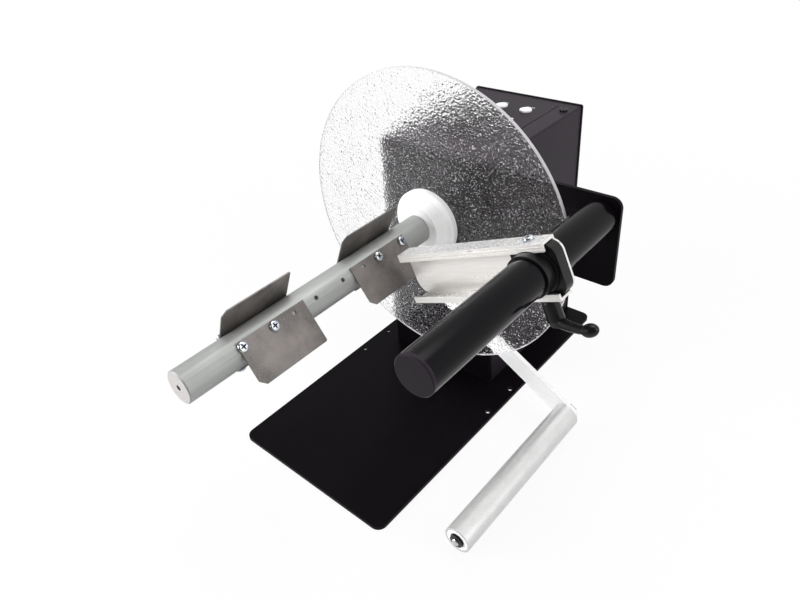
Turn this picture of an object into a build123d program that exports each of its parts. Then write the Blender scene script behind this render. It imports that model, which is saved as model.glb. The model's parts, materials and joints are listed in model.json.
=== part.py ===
"""Powered label rewinder for a bench top.

Millimetres. X runs across the machine, Y runs away from the operator along the spindle and Z is up.
The base plate lies on the bench at Z = 0. The spindle axis is above X = 0 and the front face of the flange disc is at Y = 0.
"""
import os
from math import cos, radians, sin
from build123d import *

os.makedirs("parts", exist_ok=True)

# ---- clearances and fits
RUN_GAP = 0.04         # radial gap of a shaft that turns in its bearing
SLIDE_GAP = 0.06       # radial gap of the guide's bore on its bar
HINGE_GAP = 0.30       # side gap between parts that swing past each other
STOP_GAP = 0.20        # gap left at a stop when a part rests on it
SEAM = 0.90            # open seam between two folded sheets
LOOSE = 0.30           # radial gap of a button in its hole

# ---- base plate
BASE_TOP = 3.0
BASE_W = 162.0
BASE_L = 336.0
BASE_X = 1.2           # middle of the base plate, a little right of the spindle
BASE_Y0 = -176.5       # front edge
BASE_CORNER = 8.0
MOUNT_EDGE = 5.9       # from a bolt hole to the long edge of the plate
MOUNT_DX = BASE_W - 2 * MOUNT_EDGE
MOUNT_DY = 36.6
MOUNT_Y = -3.3
MOUNT_R = 2.2

# ---- front panel with the wing that carries the guide bar
PANEL_Y = 11.7
PANEL_T = 3.0
PANEL_BACK = PANEL_Y + PANEL_T
TOWER_X0 = -57.6
TOWER_X1 = 56.0
PANEL_TOP = 226.8
WING_Z0 = 153.1
WING_CORNER = 8.0
FOLD_LEG = 20.0

# ---- housing
SKIN = 1.5
BEND_R = 2.0
HOUSING_TOP = PANEL_TOP + SKIN
REAR_T = 2.2
REAR_Y = BASE_Y0 + BASE_L - REAR_T - 1.1
REAR_LIP = 0.8         # the rear panel stands proud of the skin all round
SEAM_X = 37.9
SEAM_END = REAR_Y - 8.2   # behind this the two sheets butt together
VENT_COUNT = 7
VENT_PITCH = 8.0
VENT_LENGTH = 56.0
VENT_Z = 147.0         # lowest vent

# ---- spindle
AXIS_Z = 165.2
SHAFT_R = 6.0
SHAFT_Y0 = -48.0
SHAFT_Y1 = 74.0
DISC_R = 134.0
DISC_T = 3.0
HUB_R = 31.0
HUB_RIM = 5.3
HUB_Y0 = -14.4
HUB_SEAT = -6.0
HUB_SPIGOT_R = 9.0
BACK_HUB_R = 22.0
BACK_HUB_T = 5.0
CORE_R = 12.5
CORE_Y0 = -259.0
CORE_CHAMFER = 0.8
STATIONS = (-199.0, -129.5, -62.5)   # middles of the pairs of tapped holes
HOLE_PITCH = 28.0
HOLE_R = 1.65
ROWS = (37.8, 157.8, 277.8)          # angles of the three rows of holes
BEARING_R = 14.0
BEARING_W = 8.0
FRONT_BEARING_Y = 15.5
REAR_BEARING_Y = 50.0
BLOCK_R = 19.0
BLOCK_FLANGE_R = 25.0
BLOCK_FLANGE_T = 5.0
MOTOR_PLATE_Y = 87.0
PILLAR_OFF = 24.0
PILLAR_R = 4.0
GEARBOX_R = 18.5
MOTOR_SHAFT_R = 3.0
MOTOR_CLEAR = 4.2      # from the motor's terminals to the rear panel
TERMINAL = 4.0

# ---- wings on the spindle
WING_SHEET = 1.0
WING_REACH = 30.0      # from the row of holes to the free edge
WING_BACK = 4.4        # from the row of holes to the near edge
WING_LENGTH = 61.0
WING_CUT = 4.5         # corner cut at the near end of the free edge
WING_NIP = 1.0         # smaller cut at the far end
FRONT_WINGS = (-215.7, -215.7, -215.7)   # near ends, in the order of the rows
REAR_WINGS = (-105.4, -100.4, -100.4)
FRONT_SPARE = -166.0   # third hole of each wing, left open
REAR_SPARE = -93.4

# ---- guide bar
BAR_OUT = 12.9         # the bar's middle lies this far outside the disc's radius
BAR_X = DISC_R + BAR_OUT
BAR_Z = 209.6
BAR_R = 13.85
BAR_WALL = 2.0
BAR_Y0 = -197.6
CAP_T = 2.4
WING_X1 = BAR_X + 15.9

# ---- guide arm that slides and swings on the bar
TILT = 23.2            # slope of the guide, down to the left
CH_FRONT = -78.0
CH_BACK = -64.0
CH_SHEET = 1.8
CH_HALF = 20.3         # half height over the flanges
CH_LEFT = 30.9 - BAR_X     # the left end stops short of the turning wings
CH_RIGHT = 14.5
WEB_LEFT = CH_LEFT - 2.8
WEB_RIGHT = 19.5
LIP_TOP = 6.0
LIP_LOW = 5.0
GROOVE = 0.5           # width and depth of the two lines along the upper lip
BLOCK_LEFT = -15.0
BLOCK_FRONT = -74.5
SLEEVE_R = 15.4        # sleeve between the bar and the block
RING_R = 17.3          # flange of the sleeve, inside the channel
RING_FRONT = -75.9
RING_BACK = -74.7
SLEEVE_FRONT = -84.0
STUD_Y = -70.2
STUD_R = 3.5

# ---- dancer arm and roller
PIVOT_X = 0.0
PIVOT_Z = 97.9
ARM_LENGTH = 161.1
ARM_REST = 30.8        # slope at rest, down to the right
ARM_LIFT = 45.0
ARM_W = 17.0
ARM_T = 4.0
ARM_Y = 5.5
PIN_R = 4.0
STOP_R = 3.5
LOW_STOP_AT = 58.0     # distance of each stop from the pivot along the arm
HIGH_STOP_AT = 48.0
ROLLER_R = 10.8
ROLLER_WALL = 1.8
ROLLER_Y0 = -153.0
ROLLER_Y1 = 4.3
AXLE_R = 3.0

# ---- controls
KNOB_X = -13.5
KNOB_Y = REAR_Y - 78.2
KNOB_R = 25.0
KNOB_H = 13.0
KNOB_GAP = 1.0
FLUTES = 24
BUTTONS = ((-7.0, REAR_Y - 32.9), (18.5, REAR_Y - 32.9))
BUTTON_R = 5.7
BUTTON_H = 1.4
BUTTON_TRAVEL = 1.0
LAMP = (18.6, REAR_Y - 55.9)
LAMP_R = 1.5
BOARD_Z = 214.5


# ---- small helpers
def rod(radius, y0, y1, x=0.0, z=0.0):
    """Round bar along Y."""
    return Pos(x, (y0 + y1) / 2, z) * Rot(90, 0, 0) * Cylinder(radius, y1 - y0)


def ring(outer, inner, y0, y1, x=0.0, z=0.0):
    """Tube along Y."""
    return rod(outer, y0, y1, x, z) - rod(inner, y0 - 1, y1 + 1, x, z)


def post(radius, z0, z1, x=0.0, y=0.0):
    """Round bar along Z."""
    return Pos(x, y, (z0 + z1) / 2) * Cylinder(radius, z1 - z0)


def brick(x0, x1, y0, y1, z0, z1):
    return Pos((x0 + x1) / 2, (y0 + y1) / 2, (z0 + z1) / 2) * Box(x1 - x0, y1 - y0, z1 - z0)


def slab_y(sketch, y0, y1):
    """Sheet in the XZ plane between two Y positions."""
    return extrude(Plane.XZ.offset(-y1) * sketch, amount=y1 - y0)


def slab_z(sketch, z0, z1):
    """Sheet in the XY plane between two heights."""
    return extrude(Plane.XY.offset(z0) * sketch, amount=z1 - z0)


def on_spindle(shape):
    return Pos(0, 0, AXIS_Z) * shape


def save(shape, name):
    export_step(shape, f"parts/{name}.step")


def save_group(shapes, name):
    export_step(Compound(children=list(shapes)), f"parts/{name}.step")


# ---- frame
def base_plate():
    plate = slab_z(Pos(BASE_X, BASE_Y0 + BASE_L / 2) * RectangleRounded(BASE_W, BASE_L, BASE_CORNER), 0, BASE_TOP)
    for sx in (-1, 1):
        for sy in (-1, 1):
            plate -= post(MOUNT_R, -1, BASE_TOP + 1, BASE_X + sx * MOUNT_DX / 2, MOUNT_Y + sy * MOUNT_DY / 2)
    return plate


def stop_centre(along, angle, side):
    """Centre of a stop pin beside the arm: side is -1 below the arm and 1 above it."""
    off = ARM_W / 2 + STOP_R + STOP_GAP
    a = radians(angle)
    x = PIVOT_X + along * cos(a) - side * off * sin(a)
    z = PIVOT_Z + along * sin(a) + side * off * cos(a)
    return x, z


LOW_STOP = stop_centre(LOW_STOP_AT, -ARM_REST, -1)
HIGH_STOP = stop_centre(HIGH_STOP_AT, ARM_LIFT - ARM_REST, 1)
PILLARS = [(sx * PILLAR_OFF, AXIS_Z + sz * PILLAR_OFF) for sx in (-1, 1) for sz in (-1, 1)]


def front_panel():
    """Tower in front of the housing with a wing to the right at the top."""
    with BuildSketch() as face:
        with BuildLine():
            Polyline((TOWER_X0, BASE_TOP), (TOWER_X1, BASE_TOP), (TOWER_X1, WING_Z0), (WING_X1, WING_Z0),
                     (WING_X1, PANEL_TOP), (TOWER_X0, PANEL_TOP), close=True)
        make_face()
        corner = face.vertices().sort_by_distance((TOWER_X1, WING_Z0))[0]
        fillet(corner, WING_CORNER)
        outer = [face.vertices().sort_by_distance(p)[0] for p in ((WING_X1, WING_Z0), (WING_X1, PANEL_TOP))]
        fillet(outer, WING_CORNER)
    panel = slab_y(face.sketch, PANEL_Y, PANEL_BACK)
    panel -= rod(11.0, PANEL_Y - 1, PANEL_BACK + 1, 0, AXIS_Z)
    panel -= rod(6.5, PANEL_Y - 1, PANEL_BACK + 1, PIVOT_X, PIVOT_Z)
    panel -= rod(4.0, PANEL_Y - 1, PANEL_BACK + 1, BAR_X, BAR_Z)
    for x, z in (LOW_STOP, HIGH_STOP):
        panel -= rod(2.0, PANEL_Y - 1, PANEL_BACK + 1, x, z)
    folded_foot = brick(TOWER_X0 + 8, TOWER_X1 - 8, PANEL_BACK, PANEL_BACK + FOLD_LEG, BASE_TOP, BASE_TOP + PANEL_T)
    return panel + folded_foot


def stop_pins():
    return [rod(STOP_R, ARM_Y - 0.9, PANEL_Y, x, z) + rod(2.0, PANEL_Y, PANEL_BACK, x, z)
            for x, z in (LOW_STOP, HIGH_STOP)]


# ---- housing
def housing_cover():
    """Left wall and top in one folded sheet."""
    outer = brick(TOWER_X0, SEAM_X - SEAM / 2, PANEL_BACK, REAR_Y, BASE_TOP, HOUSING_TOP)
    outer = fillet(outer.edges().filter_by(Axis.Y).sort_by_distance((TOWER_X0, 80, HOUSING_TOP))[0], BEND_R)
    inner = brick(TOWER_X0 + SKIN, SEAM_X + 5, PANEL_BACK - 1, REAR_Y + 1, BASE_TOP - 1, PANEL_TOP)
    inner = fillet(inner.edges().filter_by(Axis.Y).sort_by_distance((TOWER_X0, 80, HOUSING_TOP))[0], BEND_R - SKIN)
    cover = outer - inner
    cover -= post(3.6, PANEL_TOP - 1, HOUSING_TOP + 1, KNOB_X, KNOB_Y)
    for x, y in BUTTONS:
        cover -= post(BUTTON_R + LOOSE, PANEL_TOP - 1, HOUSING_TOP + 1, x, y)
    cover -= post(LAMP_R + 0.1, PANEL_TOP - 1, HOUSING_TOP + 1, *LAMP)
    return cover


def side_panel():
    """Right wall with its folded top flange and a strip that backs the seam and takes the cover screws."""
    outer = brick(SEAM_X + SEAM / 2, TOWER_X1, PANEL_BACK, REAR_Y, BASE_TOP, HOUSING_TOP)
    outer = fillet(outer.edges().filter_by(Axis.Y).sort_by_distance((TOWER_X1, 80, HOUSING_TOP))[0], BEND_R)
    inner = brick(0, TOWER_X1 - SKIN, PANEL_BACK - 1, REAR_Y + 1, BASE_TOP - 1, PANEL_TOP)
    inner = fillet(inner.edges().filter_by(Axis.Y).sort_by_distance((TOWER_X1, 80, HOUSING_TOP))[0], BEND_R - SKIN)
    wall = outer - inner
    wall += brick(SEAM_X - SEAM / 2, SEAM_X + SEAM, SEAM_END, REAR_Y, PANEL_TOP, HOUSING_TOP)
    return wall + brick(SEAM_X - 12, TOWER_X1 - 4, PANEL_BACK + 6, REAR_Y - 13, PANEL_TOP - SKIN, PANEL_TOP)


COVER_SCREWS = ((TOWER_X1 - 8.2, REAR_Y - 17.5), (TOWER_X1 - 8.2, PANEL_BACK + 15.3))
INLET = (-30.0, 37.0)
BLADE_SINK = 4.9       # the blades end this far below the face of the rear panel
SWITCH = (18.0, 37.0)
ROCKER_PIN_R = 1.2
ROCKER_SINK = 1.6      # the pin lies this far below the face of the rear panel
REAR_SCREWS = [(x, z) for x in (TOWER_X0 + 8, TOWER_X1 - 8) for z in (BASE_TOP + 10, PANEL_TOP - 10)]


def pan_screw_z(x, y, z, head_r, shank_r, length):
    head = fillet(post(head_r, z, z + 2.2, x, y).edges().group_by(Axis.Z)[-1], 1.2)
    return head + post(shank_r, z - length, z, x, y)


def housing_screws():
    y = REAR_Y + REAR_T
    rear = [rod(3.2, y, y + 2, x, z) + rod(1.5, REAR_Y - 5, y, x, z) for x, z in REAR_SCREWS]
    return rear + [pan_screw_z(x, y, HOUSING_TOP, 3.6, 1.5, 2 * SKIN + 2) for x, y in COVER_SCREWS]


def cut_screw_holes(plate):
    for x, y in COVER_SCREWS:
        plate -= post(1.5, PANEL_TOP - 5, HOUSING_TOP + 1, x, y)
    return plate


def rear_panel():
    x0, x1 = TOWER_X0 - REAR_LIP, TOWER_X1 + REAR_LIP
    z1 = HOUSING_TOP + REAR_LIP
    sheet = Pos((x0 + x1) / 2, (BASE_TOP + z1) / 2) * RectangleRounded(x1 - x0, z1 - BASE_TOP, 2.0)
    panel = slab_y(sheet, REAR_Y, REAR_Y + REAR_T)
    for i in range(VENT_COUNT):
        slot = Pos((x0 + x1) / 2, VENT_Z + i * VENT_PITCH) * SlotOverall(VENT_LENGTH, 3.0)
        panel -= slab_y(slot, REAR_Y - 1, REAR_Y + REAR_T + 1)
    panel -= slab_y(Pos(*INLET) * RectangleRounded(28, 20, 1.0), REAR_Y - 1, REAR_Y + REAR_T + 1)
    panel -= slab_y(Pos(*SWITCH) * RectangleRounded(20, 14, 1.0), REAR_Y - 1, REAR_Y + REAR_T + 1)
    for x, z in REAR_SCREWS:
        panel -= rod(1.5, REAR_Y - 1, REAR_Y + REAR_T + 1, x, z)
    return panel


def power_inlet():
    """Mains inlet: a flanged socket with three blades and no lead."""
    x, z = INLET
    y1 = REAR_Y + REAR_T
    body = slab_y(Pos(x, z) * RectangleRounded(28, 20, 1.0), REAR_Y - 16, y1)
    body += slab_y(Pos(x, z) * RectangleRounded(34, 26, 2.0), y1, y1 + 1.6)
    with BuildSketch() as mouth:
        with BuildLine():
            Polyline((-12, -8), (12, -8), (12, 3.5), (7.5, 8), (-7.5, 8), (-12, 3.5), close=True)
        make_face()
    body -= slab_y(Pos(x, z) * mouth.sketch, y1 - 14, y1 + 2)
    for dx, dz in ((-7, -1.5), (0, 2), (7, -1.5)):
        body += brick(x + dx - 1, x + dx + 1, y1 - 14.5, y1 - BLADE_SINK, z + dz - 2.2, z + dz + 2.2)
    return body


def switch_bezel():
    x, z = SWITCH
    y1 = REAR_Y + REAR_T
    frame = slab_y(Pos(x, z) * RectangleRounded(20, 14, 1.0), REAR_Y - 12, y1)
    frame += slab_y(Pos(x, z) * RectangleRounded(24, 18, 1.5), y1, y1 + 1.4)
    frame -= slab_y(Pos(x, z) * Rectangle(17, 11), REAR_Y - 9, y1 + 3)
    return frame - post(ROCKER_PIN_R + RUN_GAP, z - 6.3, z + 6.3, x, y1 - ROCKER_SINK)


def power_rocker():
    """Two-faced rocker that tips on a pin across its middle."""
    x, z = SWITCH
    y1 = REAR_Y + REAR_T - ROCKER_SINK
    with BuildSketch(Plane.XY) as side:
        with BuildLine():
            Polyline((-7.6, -2), (7.6, -2), (7.6, 2.3), (6.9, 2.9), (0, 1.9), (-6.9, 4.5), (-7.6, 2.8), close=True)
        make_face()
    prism = extrude(side.sketch, amount=5.0, both=True)
    return Pos(x, y1, z) * (prism + post(ROCKER_PIN_R, -6.2, 6.2))


# ---- spindle drive
def bearing_block():
    block = ring(BLOCK_FLANGE_R, 11.0, PANEL_BACK, PANEL_BACK + BLOCK_FLANGE_T)
    block += ring(BLOCK_R, 11.0, PANEL_BACK, REAR_BEARING_Y + BEARING_W + 1)
    for y in (FRONT_BEARING_Y, REAR_BEARING_Y):
        block -= rod(BEARING_R, y, y + BEARING_W)
    block -= rod(BEARING_R, REAR_BEARING_Y, REAR_BEARING_Y + BEARING_W + 2)
    block -= rod(BEARING_R, PANEL_BACK - 1, FRONT_BEARING_Y + 1)
    for a in range(4):
        block -= Rot(0, 90 * a, 0) * rod(2.0, PANEL_BACK - 1, PANEL_BACK + BLOCK_FLANGE_T + 1, 21.8, 0)
    return on_spindle(block)


def bearing(y):
    race = ring(BEARING_R, SHAFT_R + RUN_GAP, y, y + BEARING_W)
    groove = ring(12.0, 8.5, y - 1, y + 0.6) + ring(12.0, 8.5, y + BEARING_W - 0.6, y + BEARING_W + 1)
    return on_spindle(race - groove)


def spindle_shaft():
    shaft = rod(SHAFT_R, SHAFT_Y0, SHAFT_Y1)
    return on_spindle(chamfer(shaft.edges().filter_by(GeomType.CIRCLE), 0.5))


def motor_plate():
    plate = slab_y(RectangleRounded(64, 64, 6), MOTOR_PLATE_Y, MOTOR_PLATE_Y + 3)
    plate -= rod(7.0, MOTOR_PLATE_Y - 1, MOTOR_PLATE_Y + 4)
    return on_spindle(plate)


def pillars():
    out = []
    for x, z in PILLARS:
        hexagon = Pos(x, z) * RegularPolygon(PILLAR_R, 6)
        out.append(slab_y(hexagon, PANEL_BACK, MOTOR_PLATE_Y))
    return out


def gear_motor():
    y0 = MOTOR_PLATE_Y + 3
    y1 = REAR_Y - MOTOR_CLEAR - TERMINAL
    split = y0 + 0.45 * (y1 - y0)
    body = rod(GEARBOX_R, y0, split)
    body += rod(GEARBOX_R - 1.5, split, y1)
    body += rod(6.0, y0 - 3, y0)
    body += brick(-4, -2, y1, y1 + TERMINAL, -2, 2) + brick(2, 4, y1, y1 + TERMINAL, -2, 2)
    body -= rod(MOTOR_SHAFT_R + RUN_GAP, y0 - 4, y0 + 11)
    return on_spindle(body)


def motor_shaft():
    return on_spindle(rod(MOTOR_SHAFT_R, SHAFT_Y1 + 1, MOTOR_PLATE_Y + 13))


def coupling():
    jaw = rod(11.0, SHAFT_Y1 - 8, SHAFT_Y1 + 10) - rod(SHAFT_R, SHAFT_Y1 - 9, SHAFT_Y1)
    jaw -= rod(MOTOR_SHAFT_R, SHAFT_Y1 - 1, SHAFT_Y1 + 11)
    jaw -= ring(12.0, 9.0, SHAFT_Y1 + 0.5, SHAFT_Y1 + 1.5)
    return on_spindle(jaw)


# ---- spindle front end
def flange_hub():
    """White hub: a thin rim against the disc and a cone that grips the core bar."""
    with BuildSketch() as half:
        with BuildLine():
            Polyline((SHAFT_R, HUB_SEAT), (CORE_R, HUB_SEAT), (CORE_R, HUB_Y0), (20.0, HUB_Y0), (26.5, -HUB_RIM - 1.2),
                     (HUB_R - 0.8, -HUB_RIM), (HUB_R, -HUB_RIM + 0.8), (HUB_R, 0), (HUB_SPIGOT_R, 0),
                     (HUB_SPIGOT_R, DISC_T), (SHAFT_R, DISC_T), close=True)
        make_face()
    return on_spindle(revolve(half.sketch, Axis.Y))


def flange_disc():
    disc = ring(DISC_R, HUB_SPIGOT_R, 0, DISC_T)
    rim = disc.edges().filter_by(GeomType.CIRCLE).sort_by(SortBy.RADIUS)[-2:]
    return on_spindle(chamfer(rim, 0.5))


def back_hub():
    """Clamp flange behind the disc with a neck that locates on the front bearing."""
    hub = ring(BACK_HUB_R, SHAFT_R, DISC_T, DISC_T + BACK_HUB_T)
    return on_spindle(hub + ring(9.0, SHAFT_R, DISC_T + BACK_HUB_T, FRONT_BEARING_Y - HINGE_GAP))


def at_row(angle, shape):
    """Place a shape drawn on the top line of the bar at one of the rows of holes."""
    return Rot(0, 90 - angle, 0) * shape


def core_bar():
    bar = rod(CORE_R, CORE_Y0, HUB_SEAT)
    bar = chamfer(bar.edges().filter_by(GeomType.CIRCLE).sort_by(Axis.Y)[0], CORE_CHAMFER)
    bar -= rod(SHAFT_R, SHAFT_Y0, HUB_SEAT + 1)
    bar -= rod(2.2, CORE_Y0 - 1, CORE_Y0 + 9)
    for angle in ROWS:
        for station in STATIONS:
            for s in (-1, 1):
                hole = post(HOLE_R, CORE_R - 5, CORE_R + 1, 0, station + s * HOLE_PITCH / 2)
                bar -= at_row(angle, hole)
    return on_spindle(bar)


def wing(angle, station, y0, spare):
    """Flat blade screwed to the bar along one edge and standing off it like a vane."""
    y1 = y0 + WING_LENGTH
    with BuildSketch() as blank:
        with BuildLine():
            Polyline((-WING_BACK, y0), (WING_REACH - WING_CUT, y0), (WING_REACH, y0 + WING_CUT),
                     (WING_REACH, y1 - WING_NIP), (WING_REACH - WING_NIP, y1), (-WING_BACK, y1), close=True)
        make_face()
        for y in (station - HOLE_PITCH / 2, station + HOLE_PITCH / 2, spare):
            with Locations((0, y)):
                Circle(HOLE_R, mode=Mode.SUBTRACT)
    return on_spindle(at_row(angle, slab_z(blank.sketch, CORE_R, CORE_R + WING_SHEET)))


def wing_screw(angle, y):
    z0 = CORE_R + WING_SHEET
    head = fillet(post(3.9, z0, z0 + 2.4, 0, y).edges().group_by(Axis.Z)[-1], 1.4)
    return on_spindle(at_row(angle, head + post(HOLE_R, CORE_R - 4.5, z0, 0, y)))


def wing_screws():
    return [wing_screw(angle, station + s * HOLE_PITCH / 2)
            for station in (STATIONS[0], STATIONS[-1]) for angle in ROWS for s in (-1, 1)]


# ---- guide bar
def guide_bar():
    return ring(BAR_R, BAR_R - BAR_WALL, BAR_Y0 + CAP_T, PANEL_Y, BAR_X, BAR_Z)


def bar_cap():
    cap = rod(BAR_R, BAR_Y0, BAR_Y0 + CAP_T, BAR_X, BAR_Z)
    cap = chamfer(cap.edges().filter_by(GeomType.CIRCLE).sort_by(Axis.Y)[0], 0.7)
    return cap + ring(BAR_R - BAR_WALL, BAR_R - BAR_WALL - 2, BAR_Y0 + CAP_T, BAR_Y0 + CAP_T + 9, BAR_X, BAR_Z)


def bar_anchor():
    return ring(BAR_R - BAR_WALL, 4.0, PANEL_Y - 18, PANEL_Y, BAR_X, BAR_Z)


def bar_screw():
    head = slab_y(Pos(BAR_X, BAR_Z) * RegularPolygon(7.2, 6), PANEL_BACK + 1.6, PANEL_BACK + 7)
    washer = rod(8.5, PANEL_BACK, PANEL_BACK + 1.6, BAR_X, BAR_Z)
    return head + washer + rod(4.0, PANEL_Y - 14, PANEL_BACK + 1, BAR_X, BAR_Z)


# ---- guide arm, drawn level with the bar axis at the origin and then tilted
def on_bar(shape):
    return Pos(BAR_X, 0, BAR_Z) * Rot(0, -TILT, 0) * shape


def guide_channel():
    """Folded channel: a long web with rounded ends and shorter flanges with turned lips."""
    s = CH_SHEET
    with BuildSketch(Plane.YZ) as section:
        with BuildLine():
            Polyline((CH_BACK, -CH_HALF), (CH_BACK, CH_HALF), (CH_FRONT, CH_HALF), (CH_FRONT, CH_HALF - LIP_TOP),
                     (CH_FRONT + s, CH_HALF - LIP_TOP), (CH_FRONT + s, CH_HALF - s), (CH_BACK - s, CH_HALF - s),
                     (CH_BACK - s, s - CH_HALF), (CH_FRONT + s, s - CH_HALF), (CH_FRONT + s, LIP_LOW - CH_HALF),
                     (CH_FRONT, LIP_LOW - CH_HALF), (CH_FRONT, -CH_HALF), close=True)
        make_face()
    run = Pos(CH_LEFT, 0, 0) * extrude(section.sketch, amount=CH_RIGHT - CH_LEFT)
    for share in (0.35, 0.68):
        z = CH_HALF - LIP_TOP * share
        run -= brick(CH_LEFT - 1, CH_RIGHT + 1, CH_FRONT - 1, CH_FRONT + GROOVE, z - GROOVE / 2, z + GROOVE / 2)
    corner = 12.0
    gap = brick(WEB_LEFT - 1, CH_LEFT + corner, CH_BACK - s, CH_BACK + 1, -CH_HALF - 1, s + corner - CH_HALF)
    run -= gap - brick(WEB_LEFT - 2, CH_LEFT + corner + 1, CH_BACK - s - 1, CH_BACK + 2, -CH_HALF - 2, s - CH_HALF)
    with BuildSketch() as end:
        with BuildLine():
            Polyline((WEB_LEFT, s - CH_HALF), (WEB_RIGHT, s - CH_HALF), (WEB_RIGHT, CH_HALF - s),
                     (WEB_LEFT, CH_HALF - s), close=True)
        make_face()
        low_left = end.vertices().sort_by_distance((WEB_LEFT, -CH_HALF))[0]
        fillet(low_left, corner)
        rest = [end.vertices().sort_by_distance(p)[0] for p in
                ((WEB_LEFT, CH_HALF), (WEB_RIGHT, CH_HALF), (WEB_RIGHT, -CH_HALF))]
        fillet(rest, 9.0)
    run += slab_y(end.sketch, CH_BACK - s, CH_BACK)
    run -= rod(BAR_R + HINGE_GAP, CH_BACK - s - 1, CH_BACK + 1)
    run -= rod(SLEEVE_R + HINGE_GAP, CH_FRONT - 1, CH_FRONT + s + 0.2)
    run -= post(STUD_R + 0.15, -CH_HALF - 1, s - CH_HALF + 1, 0, STUD_Y)
    run -= post(1.8, CH_HALF - s - 1, CH_HALF + 1, 0, STUD_Y)
    return on_bar(run)


def guide_sleeve():
    """Flanged sleeve that slides on the bar; the block swings round it."""
    sleeve = rod(SLEEVE_R, SLEEVE_FRONT, CH_BACK - CH_SHEET - 0.2) + rod(RING_R, RING_FRONT, RING_BACK)
    return Pos(BAR_X, 0, BAR_Z) * (sleeve - rod(BAR_R + SLIDE_GAP, SLEEVE_FRONT - 1, CH_BACK))


def clamp_block():
    """Moulded block that fills the channel round the sleeve."""
    s = CH_SHEET
    half = CH_HALF - s
    with BuildSketch() as face:
        with BuildLine():
            Polyline((BLOCK_LEFT, -half), (WEB_RIGHT, -half), (WEB_RIGHT, half), (BLOCK_LEFT, half), close=True)
        make_face()
        right = [face.vertices().sort_by_distance(p)[0] for p in ((WEB_RIGHT, half), (WEB_RIGHT, -half))]
        fillet(right, 9.0)
    block = slab_y(face.sketch, BLOCK_FRONT, CH_BACK - s)
    block -= rod(SLEEVE_R + RUN_GAP, CH_FRONT - 1, CH_BACK + 1)
    block -= post(STUD_R + RUN_GAP, -half - 1, -SLEEVE_R + 1, 0, STUD_Y)
    block -= post(1.8, SLEEVE_R + 0.8, half + 1, 0, STUD_Y)
    return on_bar(block)


def block_screw():
    head = fillet(post(4.0, CH_HALF, CH_HALF + 2.4, 0, STUD_Y).edges().group_by(Axis.Z)[-1], 1.4)
    return on_bar(head + post(1.8, SLEEVE_R + 0.8, CH_HALF, 0, STUD_Y))


LEVER_TOP = -CH_HALF - HINGE_GAP
LEVER_LOW = -42.4
LEVER_TIP = (29.7, -10.0, -39.3)     # middle of the handle's end from the stud axis


def lever_stud():
    return on_bar(post(STUD_R, LEVER_LOW + 7, -SLEEVE_R - 0.3, 0, STUD_Y))


def clamp_lever():
    """Moulded handle: a tapered hub, a slim arm swept off its foot and a long rounded end."""
    with BuildSketch() as half:
        with BuildLine():
            Polyline((0, LEVER_TOP), (5.3, LEVER_TOP), (5.3, LEVER_TOP - 2), (5.9, LEVER_TOP - 3), (6.1, -37.0),
                     (4.6, LEVER_LOW + 0.8), (3.2, LEVER_LOW), (0, LEVER_LOW), close=True)
        make_face()
    hub = revolve(Plane.XZ * half.sketch, Axis.Z)
    tx, ty, tz = LEVER_TIP
    line = Edge.make_bezier((0, 0, -38.4), (tx * 0.4, ty * 0.4, -41.4), (tx * 0.75, ty * 0.75, -41.0), (tx, ty, tz))
    with BuildSketch(Plane(origin=line @ 0, z_dir=line % 0)) as start:
        Circle(4.0)
    with BuildSketch(Plane(origin=line @ 1, z_dir=line % 1)) as stop:
        Circle(2.7)
    arm = sweep([start.sketch, stop.sketch], path=line, multisection=True)
    with BuildSketch() as oval:
        Ellipse(6.2, 4.5)
        with Locations((0, -5)):
            Rectangle(14, 10, mode=Mode.SUBTRACT)
    grip = Plane(origin=LEVER_TIP, x_dir=line % 1, z_dir=(0, 1, 0)) * revolve(oval.sketch, Axis.X)
    lever = hub + arm + grip
    lever -= post(STUD_R, LEVER_LOW + 7, LEVER_TOP + 1)
    return on_bar(Pos(0, STUD_Y, 0) * lever)


# ---- dancer
def on_arm(shape):
    """Place a shape drawn with the pivot at the origin and the arm along +X."""
    return Pos(PIVOT_X, 0, PIVOT_Z) * Rot(0, ARM_REST, 0) * shape


def dancer_arm():
    blade = slab_y(Pos(ARM_LENGTH / 2, 0) * SlotCenterToCenter(ARM_LENGTH, ARM_W), ARM_Y, ARM_Y + ARM_T)
    blade -= rod(PIN_R, ARM_Y - 1, ARM_Y + ARM_T + 1)
    blade -= rod(AXLE_R, ARM_Y - 1, ARM_Y + ARM_T + 1, ARM_LENGTH, 0)
    return on_arm(blade)


def dancer_pin():
    """Pivot pin with a low head in front of the arm."""
    pin = rod(6.5, ARM_Y - 1.7, ARM_Y) + rod(PIN_R, ARM_Y, 36.0) + rod(2.5, 36.0, 46.0)
    return on_arm(pin)


def dancer_bush():
    bush = ring(6.5, PIN_R + RUN_GAP, PANEL_Y, 24.0, PIVOT_X, PIVOT_Z)
    return bush + ring(9.5, PIN_R + RUN_GAP, ARM_Y + ARM_T + HINGE_GAP, PANEL_Y, PIVOT_X, PIVOT_Z)


def dancer_collar():
    return on_arm(ring(7.5, PIN_R, 24.0 + HINGE_GAP, 31.0))


def arm_sensor():
    """Angle sensor of the arm with the stirrup that holds it behind the panel."""
    y1 = 38.0
    face = brick(PIVOT_X - 16, PIVOT_X + 16, y1, y1 + 2, PIVOT_Z - 12, PIVOT_Z + 12)
    legs = brick(PIVOT_X - 18, PIVOT_X - 16, PANEL_BACK, y1 + 2, PIVOT_Z - 12, PIVOT_Z + 12)
    legs += brick(PIVOT_X + 16, PIVOT_X + 18, PANEL_BACK, y1 + 2, PIVOT_Z - 12, PIVOT_Z + 12)
    can = rod(9.0, y1 + 2, y1 + 14, PIVOT_X, PIVOT_Z)
    return face + legs + can - rod(2.5 + RUN_GAP, y1 - 1, y1 + 9, PIVOT_X, PIVOT_Z)


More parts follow.
